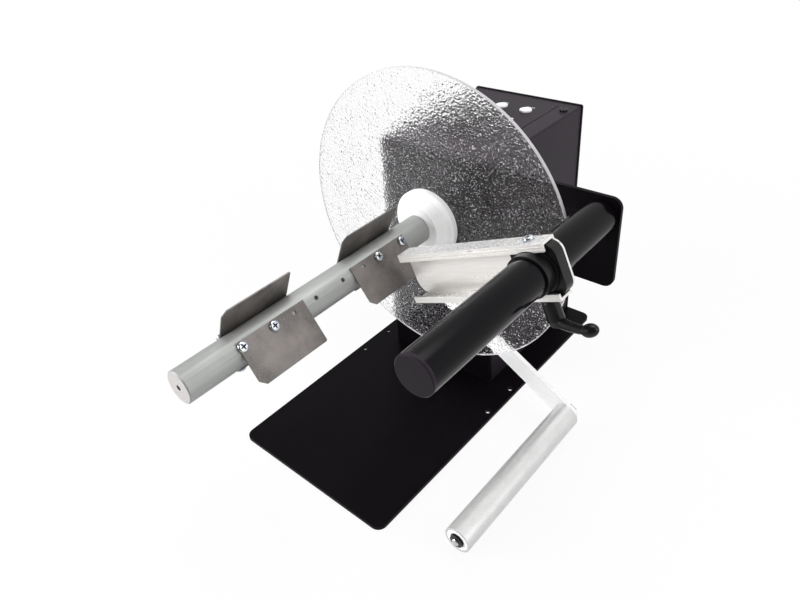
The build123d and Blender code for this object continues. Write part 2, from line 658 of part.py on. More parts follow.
def roller_axle():
    axle = rod(AXLE_R, ROLLER_Y0 - 3.2, ARM_Y + ARM_T + 5, ARM_LENGTH, 0)
    axle = chamfer(axle.edges().filter_by(GeomType.CIRCLE), 0.5)
    axle += rod(5.0, ROLLER_Y1 + HINGE_GAP, ARM_Y, ARM_LENGTH, 0)
    axle -= ring(AXLE_R + 1, AXLE_R - 0.6, ROLLER_Y0 - 1.9, ROLLER_Y0 - 1.1, ARM_LENGTH, 0)
    return on_arm(axle)


def axle_clip():
    y0 = ROLLER_Y0 - 1.9
    clip = ring(5.2, AXLE_R - 0.6, y0, y0 + 0.8, ARM_LENGTH, 0)
    clip -= brick(ARM_LENGTH - 1.2, ARM_LENGTH + 1.2, y0 - 1, y0 + 2, -6, 0)
    return on_arm(clip)


def axle_nut():
    y0 = ARM_Y + ARM_T
    nut = slab_y(Pos(ARM_LENGTH, 0) * RegularPolygon(5.8, 6), y0, y0 + 4)
    return on_arm(nut - rod(AXLE_R, y0 - 1, y0 + 5, ARM_LENGTH, 0))


def roller_tube():
    return on_arm(ring(ROLLER_R, ROLLER_R - ROLLER_WALL, ROLLER_Y0, ROLLER_Y1, ARM_LENGTH, 0))


def roller_plug(y0, y1):
    return on_arm(ring(ROLLER_R - ROLLER_WALL, 6.0, y0, y1, ARM_LENGTH, 0))


def roller_bearing(y0, y1):
    return on_arm(ring(6.0, AXLE_R + RUN_GAP, y0, y1, ARM_LENGTH, 0))


# ---- controls
def speed_knob():
    z0 = HOUSING_TOP + KNOB_GAP
    knob = fillet(post(KNOB_R, z0, z0 + KNOB_H).edges().group_by(Axis.Z)[-1], 1.2)
    for i in range(FLUTES):
        knob -= Rot(0, 0, (i + 0.5) * 360 / FLUTES) * post(1.6, z0 + 2.5, z0 + KNOB_H + 1, KNOB_R + 0.7, 0)
    knob -= brick(-0.8, 0.8, KNOB_R * 0.35, KNOB_R * 0.86, z0 + KNOB_H - 0.6, z0 + KNOB_H + 1)
    knob += post(3.0, PANEL_TOP - 8, z0 + 1)
    return Pos(KNOB_X, KNOB_Y, 0) * knob


def button(x, y):
    top = HOUSING_TOP + BUTTON_H
    cap = post(BUTTON_R, top - 5.0, top, x, y)
    return fillet(cap.edges().group_by(Axis.Z)[-1], 0.5)


def control_board():
    """Board under the cover with the rotary control, two key switches and three pillars."""
    top = PANEL_TOP
    x0, x1 = KNOB_X - 13, BUTTONS[1][0] + 12
    y0, y1 = KNOB_Y - 14, BUTTONS[1][1] + 11
    board = brick(x0, x1, y0, y1, BOARD_Z, BOARD_Z + 1.6)
    board += post(9.0, BOARD_Z + 1.6, top - 5, KNOB_X, KNOB_Y) + post(5.0, top - 5, top, KNOB_X, KNOB_Y)
    board -= post(3.0 + RUN_GAP, top - 9, top + 1, KNOB_X, KNOB_Y)
    for x, y in ((x0 + 4, y1 - 3), (x0 + 33, y1 - 3), (x1 - 9, y0 + 4)):
        board += post(2.2, BOARD_Z, top, x, y)
    low = HOUSING_TOP + BUTTON_H - 5.0
    for x, y in BUTTONS:
        board += brick(x - 6, x + 6, y - 6, y + 6, BOARD_Z + 1.6, low - BUTTON_TRAVEL - 2.0)
        board += post(2.5, low - BUTTON_TRAVEL - 2.2, low - BUTTON_TRAVEL - 0.3, x, y)
    return board


def status_lamp():
    dome = fillet(post(LAMP_R, BOARD_Z + 1.6, HOUSING_TOP + 0.6, *LAMP).edges().group_by(Axis.Z)[-1], 0.9)
    return dome


def circuit_board():
    """Drive board on four pillars on the base plate, with a transformer, capacitors and a finned cooler."""
    z = BASE_TOP + 8
    face = z + 1.6
    x0, x1 = TOWER_X0 + 15.6, TOWER_X1 - 16
    y0, y1 = PANEL_BACK + 29.3, REAR_Y - 28
    board = brick(x0, x1, y0, y1, z, face)
    for x in (x0 + 4, x1 - 4):
        for y in (y0 + 4, y1 - 4):
            board += post(3.0, BASE_TOP, z, x, y)
    board += brick(x0 + 6, x0 + 32, y0 + 6, y0 + 32, face, face + 22)
    for i in range(3):
        board += post(5.0, face, face + 14, x0 + 44 + 13 * i, y0 + 12)
    for i in range(6):
        board += brick(x0 + 6 + 9 * i, x0 + 11 + 9 * i, y1 - 32, y1 - 6, face, face + 20)
    return board + brick(x0 + 4, x0 + 58, y1 - 34, y1 - 4, face, face + 2.4)


def build():
    save(base_plate(), "base_plate")
    save(front_panel(), "front_panel")
    save_group(stop_pins(), "stop_pins")
    save(housing_cover(), "housing_cover")
    save(cut_screw_holes(side_panel()), "side_panel")
    save_group(housing_screws(), "housing_screws")
    save(rear_panel(), "rear_panel")
    save(power_inlet(), "power_inlet")
    save(switch_bezel(), "switch_bezel")
    save(power_rocker(), "power_rocker")
    save(bearing_block(), "bearing_block")
    save(bearing(FRONT_BEARING_Y), "spindle_bearing_front")
    save(bearing(REAR_BEARING_Y), "spindle_bearing_rear")
    save(spindle_shaft(), "spindle_shaft")
    save(motor_plate(), "motor_plate")
    save_group(pillars(), "motor_pillars")
    save(gear_motor(), "gear_motor")
    save(motor_shaft(), "motor_shaft")
    save(coupling(), "shaft_coupling")
    save(flange_hub(), "flange_hub")
    save(flange_disc(), "flange_disc")
    save(back_hub(), "back_hub")
    save(core_bar(), "core_bar")
    for n, angle in enumerate(ROWS):
        save(wing(angle, STATIONS[0], FRONT_WINGS[n], FRONT_SPARE), f"wing_front_{n + 1}")
        save(wing(angle, STATIONS[-1], REAR_WINGS[n], REAR_SPARE), f"wing_rear_{n + 1}")
    save_group(wing_screws(), "wing_screws")
    save(guide_bar(), "guide_bar")
    save(bar_cap(), "bar_cap")
    save(bar_anchor(), "bar_anchor")
    save(bar_screw(), "bar_screw")
    save(guide_channel(), "guide_channel")
    save(guide_sleeve(), "guide_sleeve")
    save(clamp_block(), "clamp_block")
    save(block_screw(), "block_screw")
    save(lever_stud(), "lever_stud")
    save(clamp_lever(), "clamp_lever")
    save(dancer_arm(), "dancer_arm")
    save(dancer_pin(), "dancer_pin")
    save(dancer_bush(), "dancer_bush")
    save(dancer_collar(), "dancer_collar")
    save(arm_sensor(), "arm_sensor")
    save(roller_axle(), "roller_axle")
    save(axle_clip(), "axle_clip")
    save(axle_nut(), "axle_nut")
    save(roller_tube(), "roller_tube")
    save(roller_plug(ROLLER_Y0, ROLLER_Y0 + 6), "roller_plug_front")
    save(roller_plug(ROLLER_Y1 - 6, ROLLER_Y1), "roller_plug_rear")
    save(roller_bearing(ROLLER_Y0, ROLLER_Y0 + 5), "roller_bearing_front")
    save(roller_bearing(ROLLER_Y1 - 5, ROLLER_Y1), "roller_bearing_rear")
    save(speed_knob(), "speed_knob")
    for n, (x, y) in enumerate(BUTTONS):
        save(button(x, y), f"button_{n + 1}")
    save(control_board(), "control_board")
    save(status_lamp(), "status_lamp")
    save(circuit_board(), "circuit_board")


build()
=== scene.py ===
"""Looks for the powered label rewinder: camera, lights, procedural finishes and the fine pieces on the CAD frame."""
import json
import math

import bmesh
import bpy
from mathutils import Matrix, Vector


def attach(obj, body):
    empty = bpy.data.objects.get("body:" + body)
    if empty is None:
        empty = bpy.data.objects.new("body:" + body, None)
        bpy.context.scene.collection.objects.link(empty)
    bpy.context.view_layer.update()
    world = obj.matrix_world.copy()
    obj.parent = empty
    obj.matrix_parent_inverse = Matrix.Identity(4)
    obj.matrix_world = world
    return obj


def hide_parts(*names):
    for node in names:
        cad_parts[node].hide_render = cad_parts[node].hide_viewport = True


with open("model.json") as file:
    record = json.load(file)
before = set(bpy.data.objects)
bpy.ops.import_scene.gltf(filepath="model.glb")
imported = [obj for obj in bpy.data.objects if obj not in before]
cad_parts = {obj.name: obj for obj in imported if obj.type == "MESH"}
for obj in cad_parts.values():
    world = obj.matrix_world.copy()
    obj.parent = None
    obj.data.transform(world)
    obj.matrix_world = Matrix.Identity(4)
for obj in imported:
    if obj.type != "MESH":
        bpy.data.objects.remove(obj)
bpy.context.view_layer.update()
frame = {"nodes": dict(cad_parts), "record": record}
NODES = frame["nodes"]
SLOT_OF = {s["node"]: s["material_slot"] for s in frame["record"]["subparts"]}
X, Y, Z = range(3)

# ---- the camera, solved from the photograph (800 x 600)
CAM_AT = (0.33361, -0.40620, 0.46028)
CAM_RIGHT = (0.736955, 0.670159, -0.088230)
CAM_UP = (-0.301281, 0.442511, 0.844638)
CAM_BACK = (0.605084, -0.595878, 0.528017)
FOCAL_PX = 694.41
CENTRE_PX = (367.54, 257.78)
PHOTO_W, PHOTO_H = 800, 600
SENSOR = 36.0

# ---- studio levels
SKY = 0.45              # soft light from all round
ROOM_DARK = 0.10        # what mirrors see in front of the object
SWEEP_WHITE = 0.95      # what mirrors see behind it
FLOOR_DARK = 0.18       # the floor in front, in mirrors
FLOOR_PALE = 0.90       # the floor under and behind the object, in mirrors
FLOOR_HALF = 6.0        # metres each way

# ---- places on the machine that the looks need, in metres
AXIS_Z = 0.1652                         # height of the spindle
TILT = math.radians(23.2)               # slope of the guide, down to the left
BAR_AXIS = (0.1469, 0.2096)             # X and Z of the guide bar
ROLLER_AXIS = (0.13838, 0.01541)        # X and Z of the roller at rest
SEAL_INNER, SEAL_OUTER = 0.0034, 0.0056
DISC_R = 0.134
COVER_TOP, REAR_FACE_Y = 0.2283, 0.1584
KNOB = (-0.0135, 0.0780, 0.2423)        # middle of the knob's top
KNOB_R = 0.025

# ---- pebbles and rim of the disc
PEBBLES = 430.0                         # cells per metre
PEBBLE_BEND = 0.00016                   # depth for the light that passes
PEBBLE_GLINT = 0.00040                  # depth for the glints
RIM_FROM, RIM_FULL = 0.0011, 0.0005     # distances in from the edge where the sawn look starts and is full

# ---- screws
CORE_R, WING_SHEET = 0.0125, 0.001
ROWS = (37.8, 157.8, 277.8)                             # rows of holes round the core bar, in degrees
SCREW_Y = (-0.213, -0.185, -0.0765, -0.0485)            # places along a row
GUIDE_SCREW_Y, GUIDE_SCREW_OUT = -0.0702, 0.0203        # along the guide bar, and out from its axis
COVER_SCREW_X, COVER_SCREW_Y = 0.0478, (0.1387, 0.0300)
REAR_SCREW_X, REAR_SCREW_Z = (-0.0496, 0.0480), (0.0130, 0.2168)
GUIDE_HEAD, COVER_HEAD, REAR_HEAD = 1.02, 0.92, 0.82    # size against a wing screw's head
HEAD_R, HEAD_H, HEAD_ROUND = 0.0039, 0.0024, 0.0014     # radius, height and rounding of a head
HEAD_TURNS = 72
SHANK_R, SHANK_END = 0.0016, -0.0042
CROSS_L, CROSS_W, CROSS_D = 0.00235, 0.00060, 0.0013    # recess: half length, half width and depth
CROSS_END = 0.00018                                     # run of the wall at a recess's end
RING_STEP = 0.00013                                     # gap between rings of points, and run of a recess's side wall
QUARTER_TURN = 1.57

# ---- painted marks
TICKS, TICK_STEP, KNOB_HALF_TURN = 11, 28, 140          # count, and degrees
TICK, LONG_TICK = (0.0034, 0.0012), (0.0040, 0.0018)    # middle's distance from the knob, and half length
TICK_HALF_W = 0.00035
DASHES = ((-0.0100, 3), (0.0155, 4))                    # X of a row's first dash, and how many
DASH_Y, DASH_STEP = 0.1323, 0.0022
DASH_HALF_L, DASH_HALF_W = 0.0007, 0.00045
POINTER_OUT, POINTER_SINK = 0.01512, 0.00055            # from the knob's axis, and below its top
POINTER_HALF_W, POINTER_HALF_L, POINTER_THICK = 0.00062, 0.0060, 0.00035
PAINT_THICK = 0.00005


def make_camera():
    data = bpy.data.cameras.new("camera")
    data.sensor_width = SENSOR
    data.lens = FOCAL_PX / PHOTO_W * SENSOR
    data.shift_x = (PHOTO_W / 2 - CENTRE_PX[0]) / PHOTO_W
    data.shift_y = (CENTRE_PX[1] - PHOTO_H / 2) / PHOTO_W
    data.clip_start, data.clip_end = 0.01, 20
    cam = bpy.data.objects.new("camera", data)
    bpy.context.scene.collection.objects.link(cam)
    turn = Matrix((CAM_RIGHT, CAM_UP, CAM_BACK)).transposed().to_4x4()
    cam.matrix_world = Matrix.Translation(CAM_AT) @ turn
    bpy.context.scene.camera = cam


# ---- node helpers
class Tree:
    """The node tree of a new material, or of the world, with short calls to add and join nodes."""

    def __init__(self, name, world=None):
        self.mat = world or bpy.data.materials.new(name)
        self.mat.use_nodes = True
        self.t = self.mat.node_tree
        self.t.nodes.clear()
        self.out = self.node("OutputWorld" if world else "OutputMaterial").inputs["Surface"]
        self.place = self.node("TexCoord").outputs["Generated" if world else "Object"]

    def node(self, kind, **values):
        """A new node. Each value goes to the socket of that name, or else is a setting of the node."""
        n = self.t.nodes.new("ShaderNode" + kind)
        for key, value in values.items():
            name = key.replace("_", " ")
            if name in n.inputs:
                self.put(n.inputs[name], value)
            else:
                setattr(n, key, value)
        return n

    def put(self, socket, value):
        """Joins another node's output to the socket, or sets a plain value on it."""
        if hasattr(value, "is_output"):
            self.t.links.new(value, socket)
        else:
            socket.default_value = (*value, 1) if socket.type == "RGBA" else value

    def feed(self, n, terms):
        for socket, term in zip(n.inputs, terms):
            self.put(socket, term)
        return n

    def maths(self, op, *terms, clamp=False):
        return self.feed(self.node("Math", operation=op, use_clamp=clamp), terms).outputs[0]

    def vectors(self, op, *terms):
        n = self.feed(self.node("VectorMath", operation=op), terms)
        return n.outputs["Value" if op in ("LENGTH", "DOT_PRODUCT") else "Vector"]

    def span(self, value, lo, hi, a, b):
        """The value carried from lo..hi to a..b, and held at both ends."""
        return self.node("MapRange", Value=value, From_Min=lo, From_Max=hi, To_Min=a, To_Max=b).outputs["Result"]

    def part(self, vector, axis):
        """One of a vector's three numbers."""
        return self.node("SeparateXYZ", Vector=vector).outputs[axis]

    def facing(self, axis):
        """How far the surface looks along an axis, from -1 to 1."""
        return self.part(self.node("NewGeometry").outputs["Normal"], axis)

    def off_axis(self, x, z):
        """Distance from an axis that runs along Y."""
        gap = self.vectors("SUBTRACT", self.place, (x, 0, z))
        return self.vectors("LENGTH", self.vectors("MULTIPLY", gap, (1, 0, 1)))

    def stretch(self, scale, tilt):
        """Coordinates turned about Y and then stretched, so that lines run along a tilted section."""
        return self.node("Mapping", vector_type="TEXTURE", Vector=self.place, Scale=[1 / s for s in scale],
                         Rotation=(0, -tilt, 0)).outputs["Vector"]

    def noise(self, scale, detail, rough=0.5, at=None):
        n = self.node("TexNoise", Scale=scale, Detail=detail, Roughness=rough, Vector=at or self.place)
        return n.outputs["Fac"]

    def blend(self, fac, a, b):
        """Two colours mixed."""
        n = self.node("Mix", data_type="RGBA")
        for i, value in ((0, fac), (6, a), (7, b)):
            self.put(n.inputs[i], value)
        return n.outputs[2]

    def bump(self, height, depth, normal=None):
        n = self.node("Bump", Strength=1.0, Distance=depth, Height=height)
        if normal:
            self.put(n.inputs["Normal"], normal)
        return n.outputs["Normal"]

    def soft_edge(self, radius):
        """Normal that rounds a sharp CAD edge over the given radius."""
        return self.node("Bevel", samples=4, Radius=radius).outputs["Normal"]

    def edge_mask(self, radius, gain):
        """1 along sharp edges and 0 on the faces."""
        same = self.vectors("DOT_PRODUCT", self.soft_edge(radius), self.node("NewGeometry").outputs["Normal"])
        return self.maths("MULTIPLY", self.maths("SUBTRACT", 1.0, same), gain, clamp=True)

    def principled(self, color, rough, normal, **values):
        return self.node("BsdfPrincipled", Base_Color=color, Roughness=rough, Normal=normal, **values).outputs[0]

    def mix(self, fac, a, b):
        """Two shaders mixed."""
        return self.feed(self.node("MixShader"), (fac, a, b)).outputs[0]

    def show(self, shader):
        """The material, or the world, with this shader as the one that is seen."""
        self.put(self.out, shader)
        return self.mat


def grey(v):
    return (v, v, v)


def shade(color, by):
    """The colour made darker or lighter, and no lighter than white."""
    return tuple(min(1, c * by) for c in color)


def violet(v):
    """Near grey with the faint violet cast of the coat."""
    return (v * 1.12, v * 0.82, v * 1.20)


# ---- finishes
def powder(name, tone, rough, gloss, peel=0.000012, edge=0.10, fleck=0.0, cells=1900):
    """Powder coat: fine orange peel, small tone changes, pale flecks and a paler line where an edge catches light."""
    t = Tree(name)
    cloud = t.noise(9, 3)
    fine = t.noise(cells, 2, 0.6)
    color = t.blend(t.span(cloud, 0.3, 0.7, 0, 1), violet(tone * 0.86), violet(tone * 1.16))
    if fleck:
        color = t.blend(t.span(fine, 0.56, 0.72, 0, 1), color, violet(tone + fleck))
    color = t.blend(t.edge_mask(0.0006, 1.4), color, violet(tone + edge))
    r = t.maths("ADD", t.span(cloud, 0.25, 0.75, rough - 0.04, rough + 0.05), t.span(fine, 0.3, 0.7, -0.03, 0.03))
    return t.show(t.principled(color, r, t.bump(fine, peel, t.soft_edge(0.0005)), Specular_IOR_Level=gloss))


def grained(name, tone, rough, depth=0.00001, sheen=0.5):
    """Moulded plastic with a light spark-eroded grain."""
    t = Tree(name)
    grain = t.noise(900, 3, 0.65)
    patch = t.noise(40, 2)
    color = t.blend(t.span(patch, 0.3, 0.7, 0, 1), grey(tone * 0.9), grey(tone * 1.1))
    r = t.maths("ADD", t.span(patch, 0.3, 0.7, rough - 0.04, rough + 0.04), t.span(grain, 0.3, 0.7, -0.04, 0.04))
    return t.show(t.principled(color, r, t.bump(grain, depth, t.soft_edge(0.0004)), Specular_IOR_Level=sheen))


def drawn(name, base, rough, along, lines=(900, 14), depth=0.000006, spread=0.12, marks=0.0, grit=0.0, painted_reflection_dots=0.0,
          metal=1.0, end=None, tilt=0.0):
    """Metal with fine lines along one axis: drawn bar, extruded section or rolled sheet.

    lines: how fine they are across the axis and along it. marks: dark handling marks. grit: rolled grain with pale
    clouds. painted_reflection_dots: painted reflection of the pebbled clear disc, as dark dots on the faces that
    look up. end: colour of the faces that look along Y. tilt: the section's slope.
    """
    t = Tree(name)
    scale = [lines[0]] * 3
    scale[along] = lines[1]
    streak = t.noise(1.0, 4, 0.6, t.stretch(scale, tilt))
    broad = t.noise(1.0, 2, 0.5, t.stretch([s * 0.12 for s in scale], tilt))
    cloud = t.noise(26, 3)
    color = t.blend(t.span(broad, 0.3, 0.7, 0, 1), shade(base, 1 - spread), shade(base, 1 + spread))
    color = t.blend(t.span(streak, 0.35, 0.75, 0, 0.35), color, shade(base, 0.72))
    if marks:
        color = t.blend(t.span(t.noise(210, 4, 0.7), 0.58, 0.72, 0, marks), color, shade(base, 0.45))
    if grit:
        color = t.blend(t.span(t.noise(1500, 3, 0.7), 0.42, 0.62, grit, 0), color, shade(base, 0.55))
        color = t.blend(t.span(cloud, 0.45, 0.72, 0, 0.75), color, shade(base, 1.6))
    if painted_reflection_dots:
        # painted reflection: dark bluish dots on the faces that look up, for the pebbled disc mirrored in them
        upper = t.span(t.facing(Z), 0.7, 0.85, 0, painted_reflection_dots)
        dots = t.span(t.noise(950, 2, 0.7), 0.44, 0.56, 1, 0)
        color = t.blend(t.maths("MULTIPLY", upper, dots), color, (0.12, 0.15, 0.21))
    if end:
        color = t.blend(t.span(t.maths("ABSOLUTE", t.facing(Y)), 0.85, 0.95, 0, 1), color, end)
    r = t.maths("ADD", t.span(streak, 0.3, 0.7, rough - 0.06, rough + 0.08), t.span(cloud, 0.3, 0.7, -0.04, 0.05))
    return t.show(t.principled(color, r, t.bump(streak, depth, t.soft_edge(0.0003)), Metallic=metal))


def pebbled_clear(name):
    """Clear acrylic with rolled pebbles, painted glints on the tops of some of them and a sawn rim. Shadow rays pass,
    so that what is behind it stays lit.
    """
    t = Tree(name)
    wobble = t.node("TexNoise", Scale=420.0, Detail=1.0, Vector=t.place).outputs["Color"]
    bent = t.vectors("MULTIPLY_ADD", wobble, (0.0006, 0.0006, 0.0006), t.place)
    pebble = t.node("TexVoronoi", Scale=PEBBLES, Randomness=1.0, Vector=bent)
    cell = pebble.outputs["Distance"]
    dome = t.maths("SUBTRACT", 1.0, t.maths("MULTIPLY", t.maths("MULTIPLY", cell, cell), 2.2))
    height = t.maths("ADD", dome, t.span(t.noise(PEBBLES * 1.4, 1), 0.3, 0.7, 0.0, 0.8))
    height = t.maths("MULTIPLY", height, t.span(t.noise(60, 2), 0.3, 0.7, 0.75, 1.2))
    flat_face = t.span(t.maths("ABSOLUTE", t.facing(Y)), 0.5, 0.9, 0.0, 1.0)
    height = t.maths("MULTIPLY", height, flat_face)
    body = t.principled((0.99, 0.99, 0.99), 0.03, t.bump(height, PEBBLE_BEND), IOR=1.49, Specular_IOR_Level=0.16,
                        Transmission_Weight=1.0)

    # painted glints: a pale opaque finish on the tops of some pebbles, standing in for the light they catch
    painted_glint = t.principled((0.92, 0.88, 0.95), 0.22, t.bump(height, PEBBLE_GLINT))
    some = t.span(t.part(pebble.outputs["Color"], X), 0.34, 0.95, 0.0, 0.88)
    glint_spots = t.maths("MULTIPLY", t.span(cell, 0.10, 0.30, 1.0, 0.0), some)
    disc = t.mix(t.maths("MULTIPLY", glint_spots, flat_face), body, painted_glint)

    sawn = t.principled((0.80, 0.77, 0.80), 0.35, t.bump(t.noise(900, 3), 0.00002))
    rim = t.span(t.off_axis(0, AXIS_Z), DISC_R - RIM_FROM, DISC_R - RIM_FULL, 0.0, 0.62)
    disc = t.mix(rim, disc, sawn)

    lets_pass = t.node("BsdfTransparent", Color=(0.9, 0.9, 0.9)).outputs[0]
    return t.show(t.mix(t.node("LightPath").outputs["Is Shadow Ray"], disc, lets_pass))


def sealed_ring(name, centre, inner, outer):
    """Bearing steel with a black rubber seal between two radii."""
    t = Tree(name)
    far = t.off_axis(*centre)
    soft = 0.0002
    seal = t.maths("MULTIPLY", t.span(far, inner - soft, inner, 0, 1), t.span(far, outer, outer + soft, 1, 0))
    grain = t.noise(2500, 2)
    color = t.blend(seal, (0.55, 0.56, 0.57), (0.006, 0.006, 0.006))
    r = t.maths("ADD", t.span(seal, 0, 1, 0.22, 0.5), t.span(grain, 0.3, 0.7, -0.03, 0.03))
    return t.show(t.principled(color, r, t.bump(grain, 0.000006), Metallic=t.span(seal, 0, 1, 1, 0)))


def zinc_screw(name):
    """Bright zinc with a faint blue and yellow cast, and painted shade in the cross recess."""
    t = Tree(name)
    hue = t.noise(420, 2)
    color = t.blend(t.span(hue, 0.35, 0.65, 0, 1), (0.52, 0.62, 0.76), (0.72, 0.70, 0.66))
    dirt = t.noise(2600, 3, 0.7)
    color = t.blend(t.span(dirt, 0.55, 0.75, 0, 0.5), color, (0.12, 0.13, 0.15))
    recess_shade = t.node("Attribute", attribute_name="recess").outputs["Fac"]
    # painted shade: the cross recess darkened by how deep it is
    color = t.blend(t.span(recess_shade, 0.15, 0.8, 0.0, 0.95), color, (0.012, 0.017, 0.028))
    return t.show(t.principled(color, t.span(dirt, 0.3, 0.7, 0.16, 0.3), t.bump(dirt, 0.000006), Metallic=1.0))


def board(name):
    """Green circuit board laminate with faint tracks."""
    t = Tree(name)
    cells = t.node("TexVoronoi", feature="DISTANCE_TO_EDGE", Scale=260.0, Randomness=1.0, Vector=t.place)
    track = cells.outputs["Distance"]
    color = t.blend(t.span(track, 0.0, 0.1, 1, 0), (0.02, 0.11, 0.045), (0.04, 0.2, 0.08))
    return t.show(t.principled(color, 0.35, t.bump(track, 0.00002)))


MATERIALS = {
    "powder_black": powder("powder_black", 0.0035, 0.36, 0.04, edge=0.05, fleck=0.004),
    "housing_grey": powder("housing_grey", 0.017, 0.45, 0.12, peel=0.00004, fleck=0.03, cells=1500),
    "bar_black": powder("bar_black", 0.0030, 0.15, 0.12, peel=0.000004, edge=0.03),
    "cap_grey": powder("cap_grey", 0.011, 0.45, 0.13, edge=0.16, fleck=0.01),
    "black_plastic": grained("black_plastic", 0.006, 0.33, sheen=0.25),
    "white_plastic": grained("white_plastic", 1.0, 0.30, depth=0.000003),
    "clear_disc": pebbled_clear("clear_disc"),
    "core_alu": drawn("core_alu", (0.425, 0.435, 0.425), 0.56, Y, lines=(1300, 12), spread=0.10, metal=0.7,
                      end=(0.72, 0.69, 0.68)),
    "wing_steel": drawn("wing_steel", (0.212, 0.193, 0.183), 0.42, X, lines=(1300, 120), spread=0.22, marks=0.3,
                        grit=1.0, metal=0.5),
    "zinc": drawn("zinc", (0.62, 0.68, 0.76), 0.18, Z, lines=(500, 300)),
    # the channel gets painted reflection dots on its faces that look up
    "channel_alu": drawn("channel_alu", (0.95, 0.925, 0.895), 0.32, X, lines=(600, 60), depth=0.0000012, spread=0.02,
                         painted_reflection_dots=0.6, metal=0.5, tilt=TILT),
    "arm_alu": drawn("arm_alu", (0.99, 0.99, 0.995), 0.40, X, spread=0.01, metal=0.1),
    "roller_alu": drawn("roller_alu", (0.70, 0.70, 0.695), 0.46, Y, lines=(900, 500), spread=0.05, marks=0.10,
                        metal=0.75),
    "steel": drawn("steel", grey(0.6), 0.25, Z),
    "bearing_steel": drawn("bearing_steel", grey(0.65), 0.18, Z),
    "screw_black": grained("screw_black", 0.008, 0.30, sheen=0.35),
    "button_white": grained("button_white", 0.90, 0.30, depth=0.000003),
    "knob_black": grained("knob_black", 0.010, 0.36, sheen=0.3),
    "lamp_white": grained("lamp_white", 0.85, 0.15, depth=0.000002),
    "board_green": board("board_green"),
    "motor_zinc": drawn("motor_zinc", grey(0.5), 0.38, Y, marks=0.2),
}
ZINC_SCREW = zinc_screw("zinc_screw")
SEALED = sealed_ring("bearing_seal", ROLLER_AXIS, SEAL_INNER, SEAL_OUTER)
OWN_LOOK = {"axle_clip": MATERIALS["screw_black"], "roller_bearing_front": SEALED, "roller_bearing_rear": SEALED}

for node, obj in NODES.items():
    obj.data.materials.clear()
    obj.data.materials.append(OWN_LOOK.get(node) or MATERIALS[SLOT_OF[node]])


# ---- fine pieces
def new_object(name, bm, material=None, smooth=True):
    bmesh.ops.recalc_face_normals(bm, faces=bm.faces)
    mesh = bpy.data.meshes.new(name)
    bm.to_mesh(mesh)
    bm.free()
    for poly in mesh.polygons:
        poly.use_smooth = smooth
    obj = bpy.data.objects.new(name, mesh)
    bpy.context.scene.collection.objects.link(obj)
    if material:
        mesh.materials.append(material)
    return obj


def cross_depth(x, y):
    """Depth of the cross recess at a point of the head. It gets narrower and shallower towards its ends."""
    across, along = min(abs(x), abs(y)), max(abs(x), abs(y))
    if along > CROSS_L:
        return 0.0
    width = CROSS_W * (1.12 - 0.35 * along / CROSS_L)
    wall = min(1.0, max(0.0, (width - across) / RING_STEP))
    floor = 1.0 - 0.62 * (along / CROSS_L) ** 2
    end = min(1.0, (CROSS_L - along) / CROSS_END)
    return CROSS_D * wall * floor * end


def screw_head():
    """Pan head with a cross recess and a short shank, standing on Z = 0."""
    bm = bmesh.new()
    deep = bm.verts.layers.float.new("recess")
    angles = [2 * math.pi * k / HEAD_TURNS for k in range(HEAD_TURNS)]
    circle = [(math.cos(a), math.sin(a)) for a in angles]
    flat_r = HEAD_R - HEAD_ROUND
    radii = [RING_STEP * i for i in range(1, 20)]
    radii += [flat_r + HEAD_ROUND * math.sin(math.radians(a)) for a in (4, 20, 36, 52, 68, 80, 90)]
    middle = bm.verts.new((0, 0, HEAD_H - cross_depth(0, 0)))
    rings = []
    for r in radii:
        over = max(0.0, r - flat_r) / HEAD_ROUND
        top = HEAD_H - HEAD_ROUND * (1 - math.sqrt(max(0.0, 1 - over * over)))
        rings.append([bm.verts.new((r * c, r * s, top - cross_depth(r * c, r * s))) for c, s in circle])
    for r, z in ((HEAD_R, 0.0), (SHANK_R, 0.0), (SHANK_R, SHANK_END)):
        rings.append([bm.verts.new((r * c, r * s, z)) for c, s in circle])
    # how deep each point sits in the cross recess, which the zinc finish paints as shade
    for v in bm.verts:
        v[deep] = min(1.0, cross_depth(v.co.x, v.co.y) / (0.4 * CROSS_D)) if v.co.z > 0 else 0.0
    for k in range(HEAD_TURNS):
        bm.faces.new((middle, rings[0][k], rings[0][(k + 1) % HEAD_TURNS]))
    for low, high in zip(rings, rings[1:]):
        for k in range(HEAD_TURNS):
            j = (k + 1) % HEAD_TURNS
            bm.faces.new((low[k], high[k], high[j], low[j]))
    bm.faces.new(rings[-1])
    return new_object("screw_head", bm)


